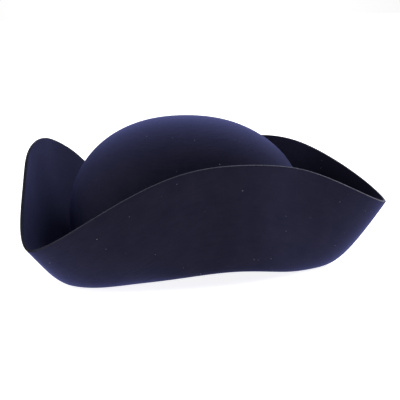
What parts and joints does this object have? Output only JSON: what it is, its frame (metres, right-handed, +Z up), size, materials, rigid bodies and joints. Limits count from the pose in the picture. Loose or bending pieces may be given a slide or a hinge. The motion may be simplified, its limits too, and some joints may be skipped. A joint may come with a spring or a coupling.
{
  "type": "tricorn hat",
  "caption": "Three-cornered hat of dark navy wool felt: a round domed crown and a wide brim turned up on three sides, in one piece, open below for the head.",
  "frame": {"origin": "middle of the hat's length and width, on the surface that it rests on", "axes": "+Z up out of the crown's top, -Y to the wearer's front where the front corner points, +X to the wearer's left"},
  "size_m": [0.2732, 0.3082, 0.1283],
  "materials": {
    "wool_felt": "pressed wool felt with a short nap and a raw cut rim"
  },
  "bodies": {
    "root": {"crown_and_brim": "wool_felt"}
  },
  "joints": []
}
